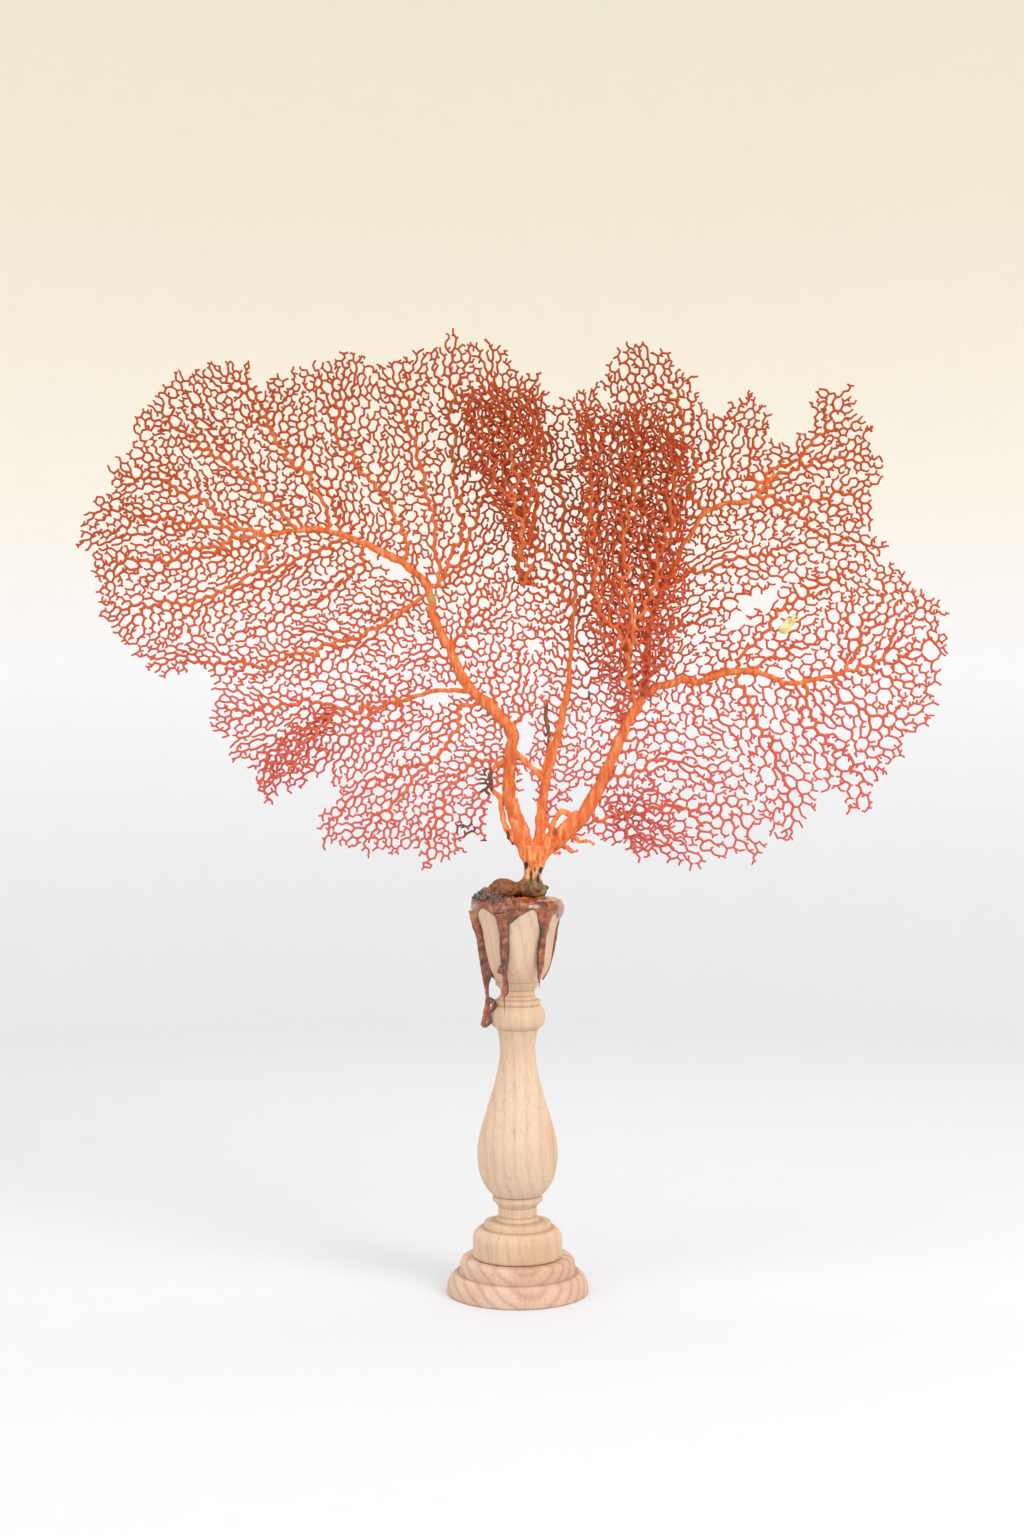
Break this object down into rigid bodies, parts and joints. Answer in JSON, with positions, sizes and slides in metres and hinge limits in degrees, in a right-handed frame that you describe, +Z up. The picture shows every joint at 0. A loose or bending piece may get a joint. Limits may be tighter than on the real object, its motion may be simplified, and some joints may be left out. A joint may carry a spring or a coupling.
{
  "type": "sea fan in a wooden candlestick",
  "caption": "Dried orange sea fan glued upright with dripping brown glue into a turned pale wood candlestick on a stepped round plinth.",
  "frame": {"origin": "centre of the plinth's flat underside", "axes": "+Z up the candlestick, X across the fan, -Y out of the fan's front"},
  "size_m": [0.49, 0.0794, 0.536],
  "materials": {
    "plinth_wood": "bare sanded beech, pinker than the stick",
    "stick_wood": "bare sanded pale beech",
    "glue": "glossy brown glue with bubbles and runs",
    "coral_bark": "dry chalky orange bark with dark scars",
    "coral_twigs": "dry matte orange to red twigs",
    "chip": "pale yellowish translucent chip"
  },
  "bodies": {
    "root": {"plinth": "plinth_wood", "candlestick": "stick_wood", "glue": "glue", "trunk": "coral_bark", "left_limb": "coral_twigs", "upper_left_bough": "coral_twigs", "left_bough": "coral_twigs", "lower_left_bough": "coral_twigs", "centre_limb": "coral_twigs", "right_limb": "coral_twigs", "right_bough": "coral_twigs", "upper_right_bough": "coral_twigs", "front_fold": "coral_twigs", "top_fold": "coral_twigs", "left_fold": "coral_twigs", "lower_right_fold": "coral_twigs", "pale_chip": "chip"}
  },
  "joints": []
}
